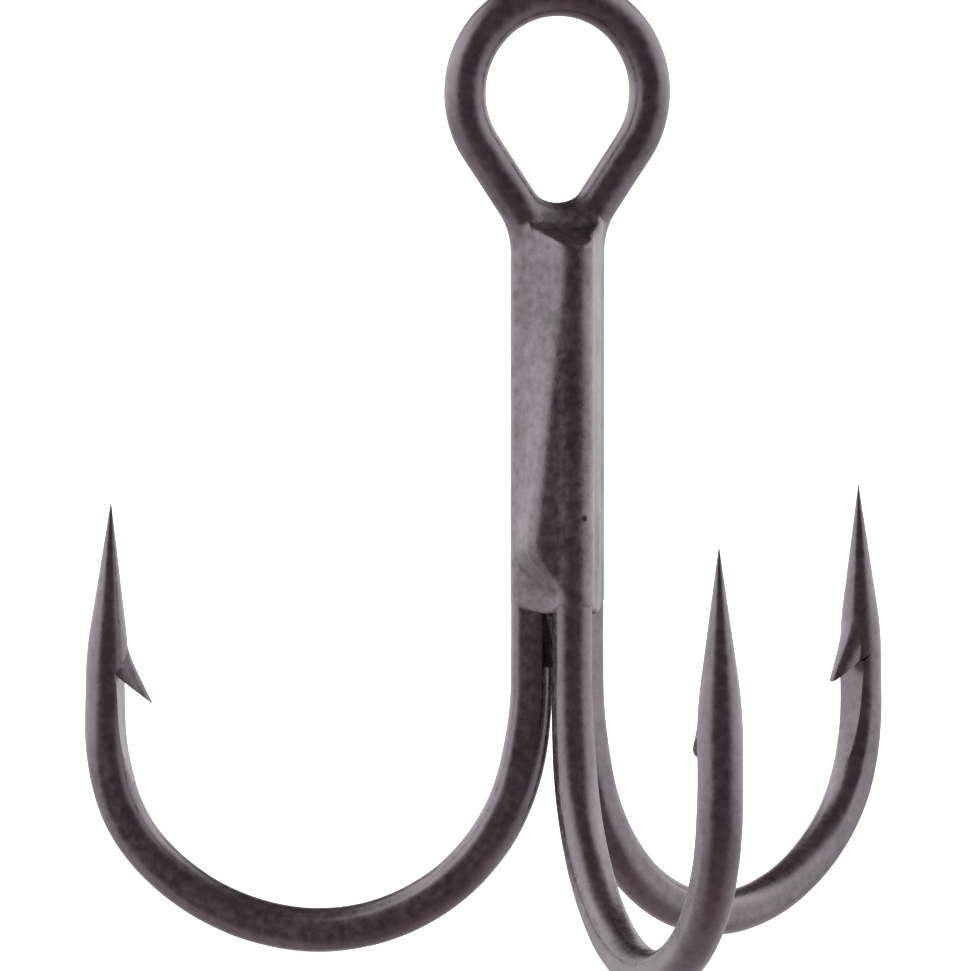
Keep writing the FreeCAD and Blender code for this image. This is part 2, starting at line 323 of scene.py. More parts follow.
def point_radius(depth):
    """Radius of the needle at a depth below its tip: a cone, a soft arc, then the spear."""
    half = math.radians(POINT_HALF_ANGLE)
    full = SPEAR_R / math.tan(half) + POINT_BLEND
    blend_r = POINT_BLEND / math.tan(half / 2)
    fall = np.clip(full - depth, 0.0, blend_r * math.sin(half))
    arc = SPEAR_R - blend_r + np.sqrt(blend_r ** 2 - fall ** 2)
    cone = depth * math.tan(half)
    return np.where(depth < full - blend_r * math.sin(half), cone, arc)


def wobble(points):
    """Slight unevenness of a drawn, bent and plated wire, as waves in radians per millimetre."""
    x, y, z = points[..., 0], points[..., 1], points[..., 2]
    slow = np.sin(1.1 * z + 0.9 * x + 1.3) * np.sin(1.7 * y - 0.6 * z + 0.4 * x)
    quick = np.sin(3.1 * x + 2.2 * z) * np.sin(2.9 * y - 1.9 * z + 2.0) * np.cos(2.3 * x - 2.6 * y)
    return SLOW_WOBBLE * slow + QUICK_WOBBLE * quick


def sweep(centre, normal, side, phase, radius, half):
    """Rings of a wire: round, or flattened across its sides where half is smaller."""
    theta = np.linspace(0, 2 * math.pi, AROUND, endpoint=False)[None, :] - phase[:, None]
    flat = half[:, None] / np.maximum(np.abs(np.sin(theta)), LEAST_SINE)
    both = np.minimum(radius[:, None], flat)
    near = np.maximum(FLAT_EDGE - np.abs(radius[:, None] - flat), 0) / FLAT_EDGE
    rho = both - near ** 2 * FLAT_EDGE / 4
    out = normal[:, None, :] * np.cos(theta)[..., None] + side[:, None, :] * np.sin(theta)[..., None]
    rings = centre[:, None, :] + out * rho[..., None]
    share = (radius / WIRE_R)[:, None]
    return rings + out * (wobble(rings) * np.clip(share, 0, 1))[..., None]


def flat_half(path, lowest):
    """Half the wire's thickness between its flats, along a hook."""
    z = path[:, 1]
    shank = np.interp(z, (FLAT_FULL_Z, BEND_TOP_Z, SHANK_FLAT_Z, SHANK_ROUND_Z, SHANK_FREE_Z),
                      (FLAT_HALF, SHANK_FLAT_HALF, SHANK_FLAT_HALF, WIRE_R, UNFLATTENED))
    rise = np.interp(z, (FLAT_FULL_Z, FLAT_END_Z, 0), (FLAT_HALF, BEND_R, UNFLATTENED))
    return np.where(np.arange(len(z)) < lowest, shank, rise)


def hook_rings(azimuth, phase, top_z):
    """Rings from a level on the straight shank to the tip, and the tip itself."""
    bends = [arc_run(arc) for arc in BEND_ARCS]
    _, spear = bend_path()
    straight = top_z - BEND_TOP_Z
    path = trace((SHANK_OFFSET, top_z), 0.0, [(straight, 0.0)] + bends + [(spear, 0.0)])
    out, side = axes(azimuth)
    steps = np.hypot(*np.diff(path[:, :2], axis=0).T)
    along = np.concatenate(([0.0], np.cumsum(steps))) - straight
    total = along[-1]
    throat, spear_arc = bends[0][0], bends[-1][0]
    radius = WIRE_R + (BEND_R - WIRE_R) * ease(along / throat)
    radius += (SPEAR_R - BEND_R) * ease((along - (total - spear - spear_arc)) / spear_arc)
    depth = total - along
    radius = np.where(depth < spear, point_radius(depth), radius)
    half = flat_half(path, np.argmin(path[:, 1]))
    keep = radius > POINT_TIP_R
    keep[-1] = False
    h = path[:, 2]
    centre = AXIS + out * path[:, :1] + UP * path[:, 1:2]
    normal = out * np.cos(h)[:, None] + UP * np.sin(h)[:, None]
    sides = np.repeat(side[None, :], len(path), axis=0)
    turn = np.full(len(path), math.radians(phase))
    rings = sweep(centre[keep], normal[keep], sides[keep], turn[keep], radius[keep], half[keep])
    return rings, centre[-1]


def eye_rings():
    """Rings from the top of the eye down its right side to the top of the straight shank."""
    runs = [
        arc_run((EYE_RING_R, -90.0 - EYE_LEAN)),
        (FLANK, 0.0),
        arc_run((NECK_ARC_R, EYE_LEAN)),
    ]
    path = trace((0.0, EYE_RING_R), 90.0, runs)[:-1]
    h = path[:, 2]
    centre = RIGHT * path[:, :1] + UP * path[:, 1:2]
    normal = RIGHT * np.cos(h)[:, None] + UP * np.sin(h)[:, None]
    sides = np.repeat(LATERAL[None, :], len(path), axis=0)
    size = np.ones(len(path))
    return sweep(centre, normal, sides, 0 * size, WIRE_R * size, UNFLATTENED * size)


def skin(rings, first_pole, last_pole):
    """Closed mesh data over rings, with a pole at each end."""
    count, around, _ = rings.shape
    verts = np.concatenate((rings.reshape(-1, 3), first_pole[None], last_pole[None]))
    index = np.arange(count * around).reshape(count, around)
    ahead = np.roll(index, -1, axis=1)
    quads = np.stack((index[:-1], ahead[:-1], ahead[1:], index[1:]), axis=-1).reshape(-1, 4)
    faces = [tuple(int(i) for i in quad) for quad in quads]
    first, last = count * around, count * around + 1
    for j in range(around):
        faces.append((int(ahead[0, j]), int(index[0, j]), first))
        faces.append((int(index[-1, j]), int(ahead[-1, j]), last))
    return verts, faces


def new_object(name, verts, faces):
    """A mesh object, still in millimetres, with its faces turned outwards."""
    mesh = bpy.data.meshes.new(name)
    mesh.from_pydata([tuple(v) for v in verts], [], faces)
    bm = bmesh.new()
    bm.from_mesh(mesh)
    bmesh.ops.recalc_face_normals(bm, faces=bm.faces)
    bm.to_mesh(mesh)
    bm.free()
    obj = bpy.data.objects.new(name, mesh)
    bpy.context.scene.collection.objects.link(obj)
    return obj


class Spear:
    """Places on a hook's spear, by depth from the tip and distance inwards."""

    def __init__(self, azimuth):
        path, _ = bend_path()
        out, self.side = axes(azimuth)
        u, w, h = path[-1]
        self.tip = AXIS + out * u + UP * w
        self.up = out * math.sin(h) - UP * math.cos(h)
        self.inward = out * math.cos(h) + UP * math.sin(h)

    def at(self, depth, side):
        return self.tip - self.up * depth + self.inward * side

    def toward(self, lean):
        a = math.radians(lean)
        return self.inward * math.sin(a) - self.up * math.cos(a)

    def normal(self, lean):
        a = math.radians(lean)
        return self.inward * math.cos(a) + self.up * math.sin(a)

    def prism(self, name, outline):
        """A cutter that crosses the hook."""
        reach = self.side * CUT_SPAN / 2
        count = len(outline)
        verts = [p - reach for p in outline] + [p + reach for p in outline]
        faces = [tuple(range(count)), tuple(range(2 * count - 1, count - 1, -1))]
        for i in range(count):
            j = (i + 1) % count
            faces.append((i, i + count, j + count, j))
        return new_object(name, verts, faces)


def slice_cutter(spear, root):
    """The long shallow cut under a barb, which curves out of the spear at its end."""
    line = []
    for depth in np.linspace(SLICE_TOP[0], SLICE_END, SLICE_STEPS):
        straight = SLICE_TOP[1] + SLICE_SLOPE * (depth - SLICE_TOP[0])
        line.append(spear.at(depth, straight + SLICE_CURVE * max(depth - SLICE_CURVE_FROM, 0) ** 2))
    outside = spear.at(SLICE_END, CUT_SPAN)
    past_barb = root + (spear.at(*BARB_TIP) - root) * 2
    return spear.prism("slice", [root] + line + [outside, past_barb])


def chip_stations(spear):
    """Centres of the chip's sections, the ways they face, and how far along the chip they are."""
    along = spear.toward(BARB_LEAN)
    curve_end = spear.at(*BARB_TIP) - along * BARB_STRAIGHT
    pivot = curve_end + spear.normal(BARB_LEAN) * BARB_CURVE_R
    stations = []
    for share in np.linspace(0, 1, CHIP_STEPS + 1):
        out = spear.normal(BARB_START_LEAN + (BARB_LEAN - BARB_START_LEAN) * share)
        stations.append((pivot - out * (BARB_CURVE_R + BARB_DEEP), out, BARB_CURVE * share))
    last, out, _ = stations[-1]
    for reach in np.linspace(0, BARB_STRAIGHT + CUT_SPAN / 2, CHIP_STEPS + 1)[1:]:
        stations.append((last + along * reach, out, BARB_CURVE + reach))
    return stations


def signed_power(x, power):
    return np.sign(x) * np.abs(x) ** power


def barb_chip(spear, wide, root, power):
    """The raised chip: a rounded bar that curves out of the spear and is cut flat below."""
    psi = np.linspace(0, 2 * math.pi, CHIP_AROUND, endpoint=False)
    deep = signed_power(np.cos(psi), 2 / power)
    lateral = signed_power(np.sin(psi), 2 / power)
    stations = chip_stations(spear)
    rings = []
    for centre, out, gone in stations:
        share = ease(gone / (BARB_CURVE + BARB_STRAIGHT))
        width = BARB_START_WIDE + (wide - BARB_START_WIDE) * share
        ring = centre + np.outer(deep, out) * BARB_DEEP
        rings.append(ring + np.outer(lateral, spear.side) * width)
    chip = new_object("chip", *skin(np.array(rings), stations[0][0], stations[-1][0]))
    point = spear.at(*BARB_TIP)
    along = spear.toward(BARB_LEAN)
    out = spear.normal(BARB_LEAN)
    past = point + (point - root)
    under = [root - (point - root), past, past + along * CUT_SPAN, root - out * CUT_SPAN * 2]
    combine(chip, spear.prism("under", under), "DIFFERENCE")
    return chip


def combine(obj, tool, operation):
    """Applies an exact boolean and removes the tool."""
    step = obj.modifiers.new("step", "BOOLEAN")
    step.object = tool
    step.operation = operation
    step.solver = "EXACT"
    bpy.context.view_layer.update()
    shaped = obj.evaluated_get(bpy.context.evaluated_depsgraph_get())
    result = bpy.data.meshes.new_from_object(shaped)
    obj.modifiers.clear()
    obj.data = result
    bpy.data.objects.remove(tool)


def cut_barb(obj, azimuth, barb):
    """Cuts the slice into a hook's spear and raises the chip over it."""
    spear = Spear(azimuth)
    wide, notch, power = barb
    root = spear.at(*notch)
    combine(obj, slice_cutter(spear, root), "DIFFERENCE")
    combine(obj, barb_chip(spear, wide, root, power), "UNION")


def double_hook_wire():
    """One wire from tip to tip, through both hooks, both shanks and the eye."""
    lower, tip = hook_rings(RIGHT_AZIMUTH, RIGHT_AZIMUTH, NECK_Z)
    half = np.concatenate((eye_rings(), lower))
    mirror = np.array((-1.0, 1.0, 1.0))
    rings = np.concatenate(((half * mirror)[:0:-1], half))
    obj = new_object("double_hook_wire_body", *skin(rings, tip * mirror, tip))
    cut_barb(obj, RIGHT_AZIMUTH, RIGHT_BARB)
    cut_barb(obj, 180.0 - RIGHT_AZIMUTH, LEFT_BARB)
    return obj


def cap_z(points, front_z):
    """Height of the slope that rises from the front wire to the crotch of the eye."""
    front_y = AXIS[1] - SHANK_OFFSET - WIRE_R
    slope = math.tan(math.radians(CAP_LEAN))
    return front_z + (points[..., 1] - front_y) * slope + CAP_DISH * np.abs(points[..., 0])


def single_hook_wire():
    """The front wire, whose sloping end lies just under the braze."""
    shank, tip = hook_rings(FRONT_AZIMUTH, 0.0, CAP_FRONT_Z - WIRE_CAP_LENGTH)
    top = []
    for share in np.linspace(1, 0, CAP_STEPS, endpoint=False):
        ring = shank[0].copy()
        ring[:, 2] += (cap_z(ring, CAP_FRONT_Z - WIRE_END_DROP) - ring[:, 2]) * share
        top.append(ring)
    rings = np.concatenate((np.array(top), shank))
    obj = new_object("single_hook_wire_body", *skin(rings, rings[0].mean(axis=0), tip))
    cut_barb(obj, FRONT_AZIMUTH, FRONT_BARB)
    return obj


def smooth_min(a, b, width):
    near = np.maximum(width - np.abs(a - b), 0) / width
    return np.minimum(a, b) - near ** 2 * width / 4


def smooth_max(a, b, width):
    return -smooth_min(-a, -b, width)


def shank_flats(p, azimuth):
    """Distance outside the flats of the lower shank, for the wire at an azimuth."""
    side = axes(azimuth)[1]
    half = np.interp(p[:, 2], (SHANK_FLAT_Z, SHANK_ROUND_Z, SHANK_FREE_Z),
                     (SHANK_FLAT_HALF, WIRE_R, UNFLATTENED))
    return np.abs((p - AXIS) @ side) - half


def eye_wire_distance(p):
    """Distance to the eye's wire, its necks and its two shanks."""
    x, z = np.abs(p[:, 0]), p[:, 2]
    below = np.where(z < NECK_Z, np.abs(x - HALF_GAP), FAR)
    pivot_x = HALF_GAP + NECK_ARC_R
    turn = np.arctan2(z - NECK_Z, pivot_x - x)
    on_arc = (turn >= 0) & (turn <= math.radians(EYE_LEAN))
    arc = np.where(on_arc, np.abs(np.hypot(x - pivot_x, z - NECK_Z) - NECK_ARC_R), FAR)
    start_x = pivot_x - NECK_ARC_R * LEAN_COS
    start_z = NECK_Z + NECK_ARC_R * LEAN_SIN
    run = np.clip((x - start_x) * LEAN_SIN + (z - start_z) * LEAN_COS, 0, FLANK)
    line = np.hypot(x - start_x - run * LEAN_SIN, z - start_z - run * LEAN_COS)
    on_ring = (z > -EYE_RING_R * LEAN_SIN - RING_REACH) & (x * LEAN_SIN + z * LEAN_COS > -JOIN_SLACK)
    ring = np.where(on_ring, np.abs(np.hypot(x, z) - EYE_RING_R), FAR)
    flat = np.minimum(np.minimum(below, arc), np.minimum(line, ring))
    right_half = np.stack((x, p[:, 1], z), axis=-1)
    return np.maximum(np.hypot(flat, p[:, 1]) - WIRE_R, shank_flats(right_half, RIGHT_AZIMUTH))


def around_front_wire(p):
    return np.hypot(p[:, 0], p[:, 1] - AXIS[1] + SHANK_OFFSET) - WIRE_R


def below_cap(p, drop):
    """Distance above the slope at the top of the front wire, lowered by a drop."""
    return (p[:, 2] - cap_z(p, CAP_FRONT_Z - drop)) * math.cos(math.radians(CAP_LEAN))


def lumps(p):
    """Uneven waves over the braze, from about -2 to 2."""
    x, y, z = p[:, 0] / LUMP_SIZE, p[:, 1] / LUMP_SIZE, p[:, 2] / LUMP_SIZE
    return (np.sin(2.1 * x + 1.3 * z + 0.5) * np.sin(1.9 * y - 1.1 * z + 1.1)
            + 0.6 * np.sin(3.3 * z + 1.7 * y) * np.sin(2.7 * x - 2.3 * z + 0.7)
            + 0.4 * np.sin(5.1 * z - 2.4 * x + 2.2) * np.sin(4.3 * y + 3.7 * z))


def groove_places(p, azimuth):
    """How far a place is across and out of the braze's face at an azimuth."""
    q = p - AXIS
    out, side = axes(azimuth)
    return q @ side, q @ out - SHANK_OFFSET / 2


def neck_gap(z):
    """Half the gap between the axes of the necks at each height."""
    up = np.clip(z - NECK_Z, 0, NECK_ARC_R * LEAN_SIN)
    straight = np.maximum(z - NECK_Z - NECK_ARC_R * LEAN_SIN, 0)
    bent = NECK_ARC_R - np.sqrt(NECK_ARC_R ** 2 - up ** 2)
    return HALF_GAP + bent + straight * LEAN_SIN / LEAN_COS


def hull_corners(z):
    """The wires' axes at each height, and the crest of the braze on the left-hand face."""
    gap = neck_gap(z)
    level = np.zeros_like(z)
    front = np.stack((level, level + AXIS[1] - SHANK_OFFSET), axis=-1)
    right = np.stack((gap, level), axis=-1)
    left = np.stack((-gap, level), axis=-1)
    proud = CREST_OUT * np.clip((CREST_TOP_Z - z) / (CREST_TOP_Z - CREST_FULL_Z), 0, 1)
    proud *= 1 - ease((CREST_FADE_Z - z) / (CREST_FADE_Z - CREST_END_Z))
    crest = front + (proud[:, None] + CREST_LEAST) * axes(CREST_AZIMUTH)[0][:2]
    return front, right, left, crest


def hull_distance(p):
    """Distance to a rounded outline that touches the three wires."""
    corners = hull_corners(p[:, 2])
    inside = np.full(len(p), -FAR)
    outside = np.full(len(p), FAR)
    for start, end in zip(corners, corners[1:] + corners[:1]):
        edge = end - start
        length = np.linalg.norm(edge, axis=1)
        along = edge / length[:, None]
        q = p[:, :2] - start
        run = (q * along).sum(axis=1)
        off = q[:, 0] * along[:, 1] - q[:, 1] * along[:, 0]
        inside = np.maximum(inside, off)
        outside = np.minimum(outside, np.hypot(off, run - np.clip(run, 0, length)))
    return np.where(inside < 0, -outside, outside)


def tongue(p):
    """Distance below the braze's rounded lower ends."""
    low = np.full(len(p), CORE_Z)
    for azimuth, raised in FACES.items():
        across, off = groove_places(p, azimuth)
        aside = np.clip(across, -TONGUE_HALF_WIDTH, TONGUE_HALF_WIDTH)
        sag = np.sqrt(TONGUE_ARC_R ** 2 - aside ** 2)
        edge = TONGUE_Z + raised + TONGUE_ARC_R - sag
        outer = ease((off + TONGUE_DEPTH) / TONGUE_RISE)
        low = np.maximum(low, CORE_Z + (edge - CORE_Z) * outer)
    return low + TONGUE_RIPPLE * np.sin(9 * p[:, 0] + 7 * p[:, 1]) - p[:, 2]


def swell(p):
    """How far the braze stands proud of the outline that touches the wires."""
    lobe = np.exp(-((p[:, 2] - LOBE_Z) / LOBE_LENGTH) ** 2)
    thinned = ease((THIN_FROM_Z - p[:, 2]) / (THIN_FROM_Z - TONGUE_Z))
    swellings = (
        (RIGHT_FACE, SWELL + LOBE * lobe, RIGHT_SWELL_WIDTH),
        (BACK_FACE, SWELL, BACK_SWELL_WIDTH),
        (LEFT_FACE, -THINNING * thinned, THINNING_WIDTH),
    )
    proud = np.zeros(len(p))
    for azimuth, amount, width in swellings:
        across, off = groove_places(p, azimuth)
        proud += np.where(off > 0, amount * np.exp(-(across / width) ** 2), 0)
    return proud


def crotch(p):
    """Web between the eye's flanks under a round saddle."""
    saddle_z = (EYE_RING_R - SADDLE_TUBE_R + SADDLE_Z) / (1 - LEAN_SIN)
    saddle_r = saddle_z - SADDLE_Z + SADDLE_TUBE_R
    out = np.hypot(p[:, 0], p[:, 2] - saddle_z)
    tube = np.hypot(np.maximum(saddle_r - out, 0), p[:, 1]) - SADDLE_TUBE_R
    between = np.abs(p[:, 0]) - neck_gap(p[:, 2])
    above = (p[:, 2] - saddle_z) * LEAN_COS + np.abs(p[:, 0]) * LEAN_SIN
    web = smooth_max(smooth_max(tube, between, WEB_ROUNDING), above, WEB_ROUNDING)
    web += WEB_SINK * ease((WEB_SINK_Z - p[:, 2]) / WEB_SINK_LENGTH)
    return np.maximum(web, WEB_BOTTOM_Z - p[:, 2])


def wire_distance(p):
    """Distance to the nearest wire."""
    front = np.maximum(around_front_wire(p), below_cap(p, WIRE_END_DROP))
    front = np.maximum(front, shank_flats(p, FRONT_AZIMUTH))
    return np.minimum(eye_wire_distance(p), front)


def groove_braze(p):
    """Distance to the braze between the three shanks, with its sloping top and rounded ends."""
    fill = hull_distance(p) - WIRE_R - swell(p) - LUMP_HEIGHT * lumps(p)
    back_cap = p[:, 2] - BACK_CAP_Z + BACK_CAP_SLOPE * (p[:, 1] - BACK_CAP_Y)
    fill = smooth_max(fill, below_cap(p, 0), CAP_ROUNDING)
    fill = smooth_max(fill, back_cap, CAP_ROUNDING)
    return smooth_max(fill, tongue(p), TONGUE_ROUNDING)


def wire_lip(p):
    """Distance to the thin braze over the sloping end of the front wire."""
    lip = smooth_max(around_front_wire(p) - LIP_PROUD, below_cap(p, 0), LIP_ROUNDING)
    return smooth_max(lip, -below_cap(p, LIP_DROP), LIP_EDGE)


def braze_distance(p):
    """Negative inside the braze, which wets the wires in smooth fillets."""
    wires = wire_distance(p)
    body = smooth_min(groove_braze(p), wire_lip(p), LIP_EDGE)
    body = smooth_min(body, crotch(p), CROTCH_FILLET)
    wet = smooth_min(body, wires, WETTING) + WET_SINK
    return np.maximum(np.maximum(wet, body - WET_REACH), -(wires + BURIED))


def net_points(grid, value):
    """A vertex in each cell that the surface crosses, and the cells' vertex numbers."""
    cells = [n - 1 for n in value.shape]
    total = np.zeros(cells + [3])
    hits = np.zeros(cells)
    for axis in range(3):
        near = [slice(None)] * 3
        far = [slice(None)] * 3
        near[axis], far[axis] = slice(None, -1), slice(1, None)
        a, b = value[tuple(near)], value[tuple(far)]
        cross = (a < 0) != (b < 0)
        share = np.where(cross, a / np.where(cross, a - b, 1), 0)
        place = grid[tuple(near)].copy()
        place[..., axis] += share * VOXEL
        others = [k for k in range(3) if k != axis]
        for i in range(2):
            for j in range(2):
                window = [slice(None)] * 3
                for k, offset in zip(others, (i, j)):
                    window[k] = slice(offset, offset + cells[k])
                total += place[tuple(window)] * cross[tuple(window)][..., None]
                hits += cross[tuple(window)]
    used = hits > 0
    index = np.full(cells, -1)
    index[used] = np.arange(used.sum())
    return total[used] / hits[used][:, None], index


def net_quads(value, index):
    """A quad round each edge of the grid that the surface crosses."""
    quads = []
    for axis in range(3):
        near = [slice(1, -1)] * 3
        far = [slice(1, -1)] * 3
        near[axis], far[axis] = slice(None, -1), slice(1, None)
        a, b = value[tuple(near)], value[tuple(far)]
        first, second = [k for k in range(3) if k != axis]
        for flip, mask in ((False, (a < 0) & (b >= 0)), (True, (a >= 0) & (b < 0))):
            where = np.argwhere(mask)
            where[:, first] += 1
            where[:, second] += 1
            corners = []
            for i, j in ((0, 0), (1, 0), (1, 1), (0, 1)):
                cell = where.copy()
                cell[:, first] -= i
                cell[:, second] -= j
                corners.append(index[tuple(cell.T)])
            quad = np.stack(corners, axis=-1)
            quads.append(quad[:, ::-1] if flip else quad)
    return [tuple(int(i) for i in quad) for quad in np.concatenate(quads)]


def settle(verts, function):
    """Moves each vertex along the gradient onto the zero surface."""
    for _ in range(SETTLE_STEPS):
        value = function(verts)
        slopes = []
        for axis in np.eye(3):
            step = SETTLE_REACH * axis
            slopes.append((function(verts + step) - function(verts - step)) / (2 * SETTLE_REACH))
        slope = np.stack(slopes, axis=-1)
        size = np.maximum((slope ** 2).sum(axis=1), LEAST_SLOPE)
        move = -(value / size)[:, None] * slope
        length = np.linalg.norm(move, axis=1, keepdims=True)
        verts = verts + move * np.minimum(1, 0.5 * VOXEL / np.maximum(length, LEAST_MOVE))
    return verts


def surface_net(low, high, function):
    """Closed quad mesh of a function's zero surface."""
    counts = [int(math.ceil((b - a) / VOXEL)) + 1 for a, b in zip(low, high)]
    lines = [a + VOXEL * np.arange(n) for a, n in zip(low, counts)]
    grid = np.stack(np.meshgrid(*lines, indexing="ij"), axis=-1)
    value = function(grid.reshape(-1, 3)).reshape(counts)
    verts, index = net_points(grid, value)
    return settle(verts, function), net_quads(value, index)


def braze():
    return new_object("braze_body", *surface_net(BRAZE_LOW, BRAZE_HIGH, braze_distance))


def finish_piece(obj, node, material, sharp):
    """Turns a finished mesh to metres and stands it for its CAD node."""
    obj.data.transform(Matrix.Scale(MM, 4))
    obj.data.polygons.foreach_set("use_smooth", [True] * len(obj.data.polygons))
    obj.data.set_sharp_from_angle(angle=math.radians(sharp))
    obj.data.materials.clear()
    obj.data.materials.append(material)
    obj.data.update()
    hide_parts(node)
    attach(obj, "root")


def math_node(tree, operation, *values):
    """A math node's output, from sockets and numbers."""
    made = tree.nodes.new("ShaderNodeMath")
    made.operation = operation
    for socket, value in zip(made.inputs, values):
        if isinstance(value, bpy.types.NodeSocket):
            tree.links.new(value, socket)
        else:
            socket.default_value = value
    return made.outputs[0]


def soft_step(tree, value, start, end, low=0.0, high=1.0):
    """A level that eases from low to high as the value goes from start to end."""
    made = tree.nodes.new("ShaderNodeMapRange")
    made.interpolation_type = "SMOOTHSTEP"
    tree.links.new(value, made.inputs["Value"])
    made.inputs["From Min"].default_value = start
    made.inputs["From Max"].default_value = end
    made.inputs["To Min"].default_value = low
    made.inputs["To Max"].default_value = high
    return made.outputs["Result"]


def noise(tree, place, size, detail):
    """Noise whose features are about this many millimetres across."""
    made = tree.nodes.new("ShaderNodeTexNoise")
    made.inputs["Scale"].default_value = 1 / (size * MM)
    made.inputs["Detail"].default_value = detail
    tree.links.new(place, made.inputs["Vector"])
    return made.outputs["Fac"]


def plating(name, tint, contrast, rough, grain):
    """Black nickel: a mottled metal with fine grain in its gloss and relief."""
    material = bpy.data.materials.new(name)
    material.use_nodes = True
    tree = material.node_tree
    shader = tree.nodes["Principled BSDF"]
    shader.inputs["Metallic"].default_value = 1.0
    place = tree.nodes.new("ShaderNodeTexCoord").outputs["Object"]
    mottle = noise(tree, place, *MOTTLE)
    fine = noise(tree, place, *FINE_MOTTLE)
    broad = noise(tree, place, *BROAD_MOTTLE)
    mixed = math_node(tree, "ADD", math_node(tree, "MULTIPLY", mottle, 1 - BROAD_SHARE),
                      math_node(tree, "MULTIPLY", broad, BROAD_SHARE))
    tones = tree.nodes.new("ShaderNodeValToRGB")
    shares = (1 - contrast, 1 + contrast)
    for element, position, share in zip(tones.color_ramp.elements, TONE_RANGE, shares):
        element.position = position
        element.color = tuple(share * c for c in tint) + (1.0,)
    tree.links.new(mixed, tones.inputs["Fac"])
    tree.links.new(tones.outputs["Color"], shader.inputs["Base Color"])
    gloss = soft_step(tree, mottle, *GLOSS_RANGE, rough - SMOOTHER, rough + ROUGHER)
    tree.links.new(gloss, shader.inputs["Roughness"])
    relief = math_node(tree, "ADD", math_node(tree, "MULTIPLY", fine, FINE_RELIEF), mottle)
    bump = tree.nodes.new("ShaderNodeBump")
    bump.inputs["Strength"].default_value = 1.0
    bump.inputs["Distance"].default_value = grain * MM
    tree.links.new(relief, bump.inputs["Height"])
    tree.links.new(bump.outputs["Normal"], shader.inputs["Normal"])
    return material


def paint_pit_shade(material):
    """Paints the shade of a small pit into a metal's colour; the mesh has no pit."""
    tree = material.node_tree
    shader = tree.nodes["Principled BSDF"]
    place = tree.nodes.new("ShaderNodeTexCoord").outputs["Object"]
    span = tree.nodes.new("ShaderNodeVectorMath")
    span.operation = "DISTANCE"
    tree.links.new(place, span.inputs[0])
    span.inputs[1].default_value = [c * MM for c in PIT]
    # Painted shade: fully dark inside the pit's floor, fading out to its rim
    edge = soft_step(tree, span.outputs["Value"], PIT_FLOOR_R * MM, PIT_RIM_R * MM, 1.0, 0.0)
    painted_shade = math_node(tree, "MULTIPLY", edge, PIT_PAINTED_SHADE)
    shade = tree.nodes.new("ShaderNodeMix")
    shade.data_type = "RGBA"
    first, second = [s for s in shade.inputs if s.type == "RGBA"]
    result = [s for s in shade.outputs if s.type == "RGBA"][0]
    base = shader.inputs["Base Color"].links[0].from_socket
    tree.links.new(painted_shade, shade.inputs[0])
    tree.links.new(base, first)
    second.default_value = PIT_SHADE_COLOUR
    tree.links.new(result, shader.inputs["Base Color"])


def camera():
    azimuth = math.radians(CAMERA_AZIMUTH)
    elevation = math.radians(CAMERA_ELEVATION)
    right = Vector((math.cos(azimuth), math.sin(azimuth), 0))
    away = Vector((-math.sin(azimuth), math.cos(azimuth), 0))
    up = away * math.sin(elevation) + Vector((0, 0, 1)) * math.cos(elevation)
    forward = away * math.cos(elevation) - Vector((0, 0, 1)) * math.sin(elevation)
    aim = Vector((0, AXIS[1], SHANK_MIDDLE_Z)) + right * AIM_RIGHT + up * AIM_UP
    data = bpy.data.cameras.new("camera")
    data.sensor_width = SENSOR
    data.lens = FOCAL_LENGTH
    data.clip_start = NEAREST_SEEN
    obj = bpy.data.objects.new("camera", data)
    turn = Matrix((right, up, -forward)).transposed().to_4x4()
    obj.matrix_world = Matrix.Translation((aim - forward * CAMERA_DISTANCE) * MM) @ turn
    bpy.context.scene.collection.objects.link(obj)
    bpy.context.scene.camera = obj


def turned(tree, x, y, azimuth):
    """A direction's part along a level azimuth."""
    return math_node(tree, "ADD", math_node(tree, "MULTIPLY", x, math.cos(azimuth)),
                     math_node(tree, "MULTIPLY", y, math.sin(azimuth)))


def two_steps(tree, value, steps):
    first, second = steps
    return math_node(tree, "ADD", soft_step(tree, value, *first), soft_step(tree, value, *second))


def studio_light(tree, x, y, z):
    """Share of the full light that comes from a direction."""
    azimuth = math.radians(CAMERA_AZIMUTH)
    sideways = turned(tree, x, y, azimuth)
    behind = turned(tree, x, y, azimuth + math.pi / 2)
    toward = math_node(tree, "MULTIPLY", behind, -1.0)
    turn = math_node(tree, "ABSOLUTE", math_node(tree, "ARCTAN2", sideways, toward))
    turn = math_node(tree, "DEGREES", turn)
    left = two_steps(tree, turn, LEFT_LIGHT)
    right = two_steps(tree, turn, RIGHT_LIGHT)
    from_right = soft_step(tree, sideways, -SIDE_BLEND, SIDE_BLEND)
    lit = math_node(tree, "MULTIPLY_ADD", math_node(tree, "SUBTRACT", right, left), from_right, left)
    lit = math_node(tree, "MULTIPLY", lit, two_steps(tree, z, LOW_LIGHT))
    lit = math_node(tree, "MULTIPLY", lit, soft_step(tree, z, *HIGH_LIGHT))
    lit = math_node(tree, "MULTIPLY", lit, soft_step(tree, z, *OVERHEAD_LIGHT))
    rear = soft_step(tree, turn, *REAR_TURN)
    above_rear = math_node(tree, "MULTIPLY", rear, soft_step(tree, z, *REAR_RISE))
    return math_node(tree, "MULTIPLY", lit, math_node(tree, "SUBTRACT", 1.0, above_rear))


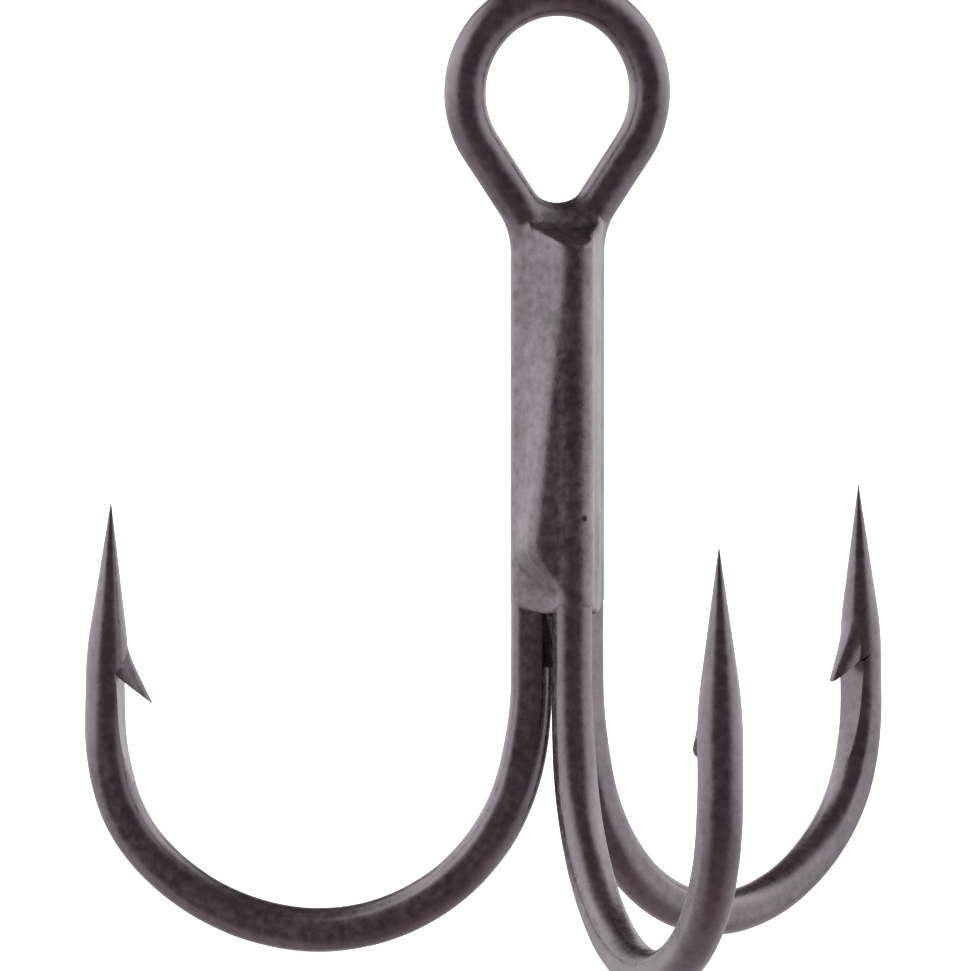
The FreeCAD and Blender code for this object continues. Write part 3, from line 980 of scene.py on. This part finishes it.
def studio():
    """Broad soft light from both sides, dim above, below, in front and behind."""
    world = bpy.data.worlds.new("studio")
    bpy.context.scene.world = world
    world.use_nodes = True
    tree = world.node_tree
    background = tree.nodes["Background"]
    split = tree.nodes.new("ShaderNodeSeparateXYZ")
    tree.links.new(tree.nodes.new("ShaderNodeTexCoord").outputs["Generated"], split.inputs[0])
    x, y, z = split.outputs
    lit = studio_light(tree, x, y, z)
    ground = soft_step(tree, z, *GROUND_LIGHT)
    seen = tree.nodes.new("ShaderNodeLightPath").outputs["Is Camera Ray"]
    joined = tree.nodes.new("ShaderNodeCombineXYZ")
    for dim, socket in zip(DIM_COLOUR, joined.inputs):
        base = math_node(tree, "MULTIPLY", ground, dim)
        part = math_node(tree, "MULTIPLY_ADD", lit, 1 - dim, base)
        tree.links.new(math_node(tree, "MAXIMUM", part, seen), socket)
    tree.links.new(joined.outputs[0], background.inputs["Color"])
    background.inputs["Strength"].default_value = 1.0
    bpy.context.scene.view_settings.view_transform = "Standard"


def floor():
    """A plain pale floor under the hook."""
    mesh = bpy.data.meshes.new("floor")
    z = cad_box[0][2]
    corners = ((-1, -1), (1, -1), (1, 1), (-1, 1))
    verts = [(x * FLOOR_HALF, y * FLOOR_HALF, z) for x, y in corners]
    mesh.from_pydata(verts, [], [(0, 1, 2, 3)])
    obj = bpy.data.objects.new("floor", mesh)
    bpy.context.scene.collection.objects.link(obj)
    material = bpy.data.materials.new("floor")
    material.use_nodes = True
    shader = material.node_tree.nodes["Principled BSDF"]
    shader.inputs["Base Color"].default_value = FLOOR_COLOUR
    shader.inputs["Roughness"].default_value = FLOOR_ROUGHNESS
    shader.inputs["Specular IOR Level"].default_value = 0.0
    shader.inputs["Emission Color"].default_value = WHITE
    shader.inputs["Emission Strength"].default_value = FLOOR_GLOW
    mesh.materials.append(material)
    obj.visible_glossy = False


def overhead_lamp():
    """Soft light from above for the floor, which the metal doesn't mirror."""
    lamp = bpy.data.lights.new("overhead", "SUN")
    lamp.energy = LAMP_STRENGTH
    lamp.angle = math.radians(LAMP_SPREAD)
    obj = bpy.data.objects.new("overhead", lamp)
    obj.visible_glossy = False
    bpy.context.scene.collection.objects.link(obj)


wire_metal = plating("plated_wire_metal", *WIRE_PLATING)
braze_metal = plating("plated_braze_metal", *BRAZE_PLATING)
# Painted shade of a small pit on the braze
paint_pit_shade(braze_metal)
camera()
studio()
floor()
overhead_lamp()
finish_piece(double_hook_wire(), "double_hook_wire", wire_metal, WIRE_SHARP)
finish_piece(single_hook_wire(), "single_hook_wire", wire_metal, WIRE_SHARP)
finish_piece(braze(), "braze", braze_metal, BRAZE_SHARP)
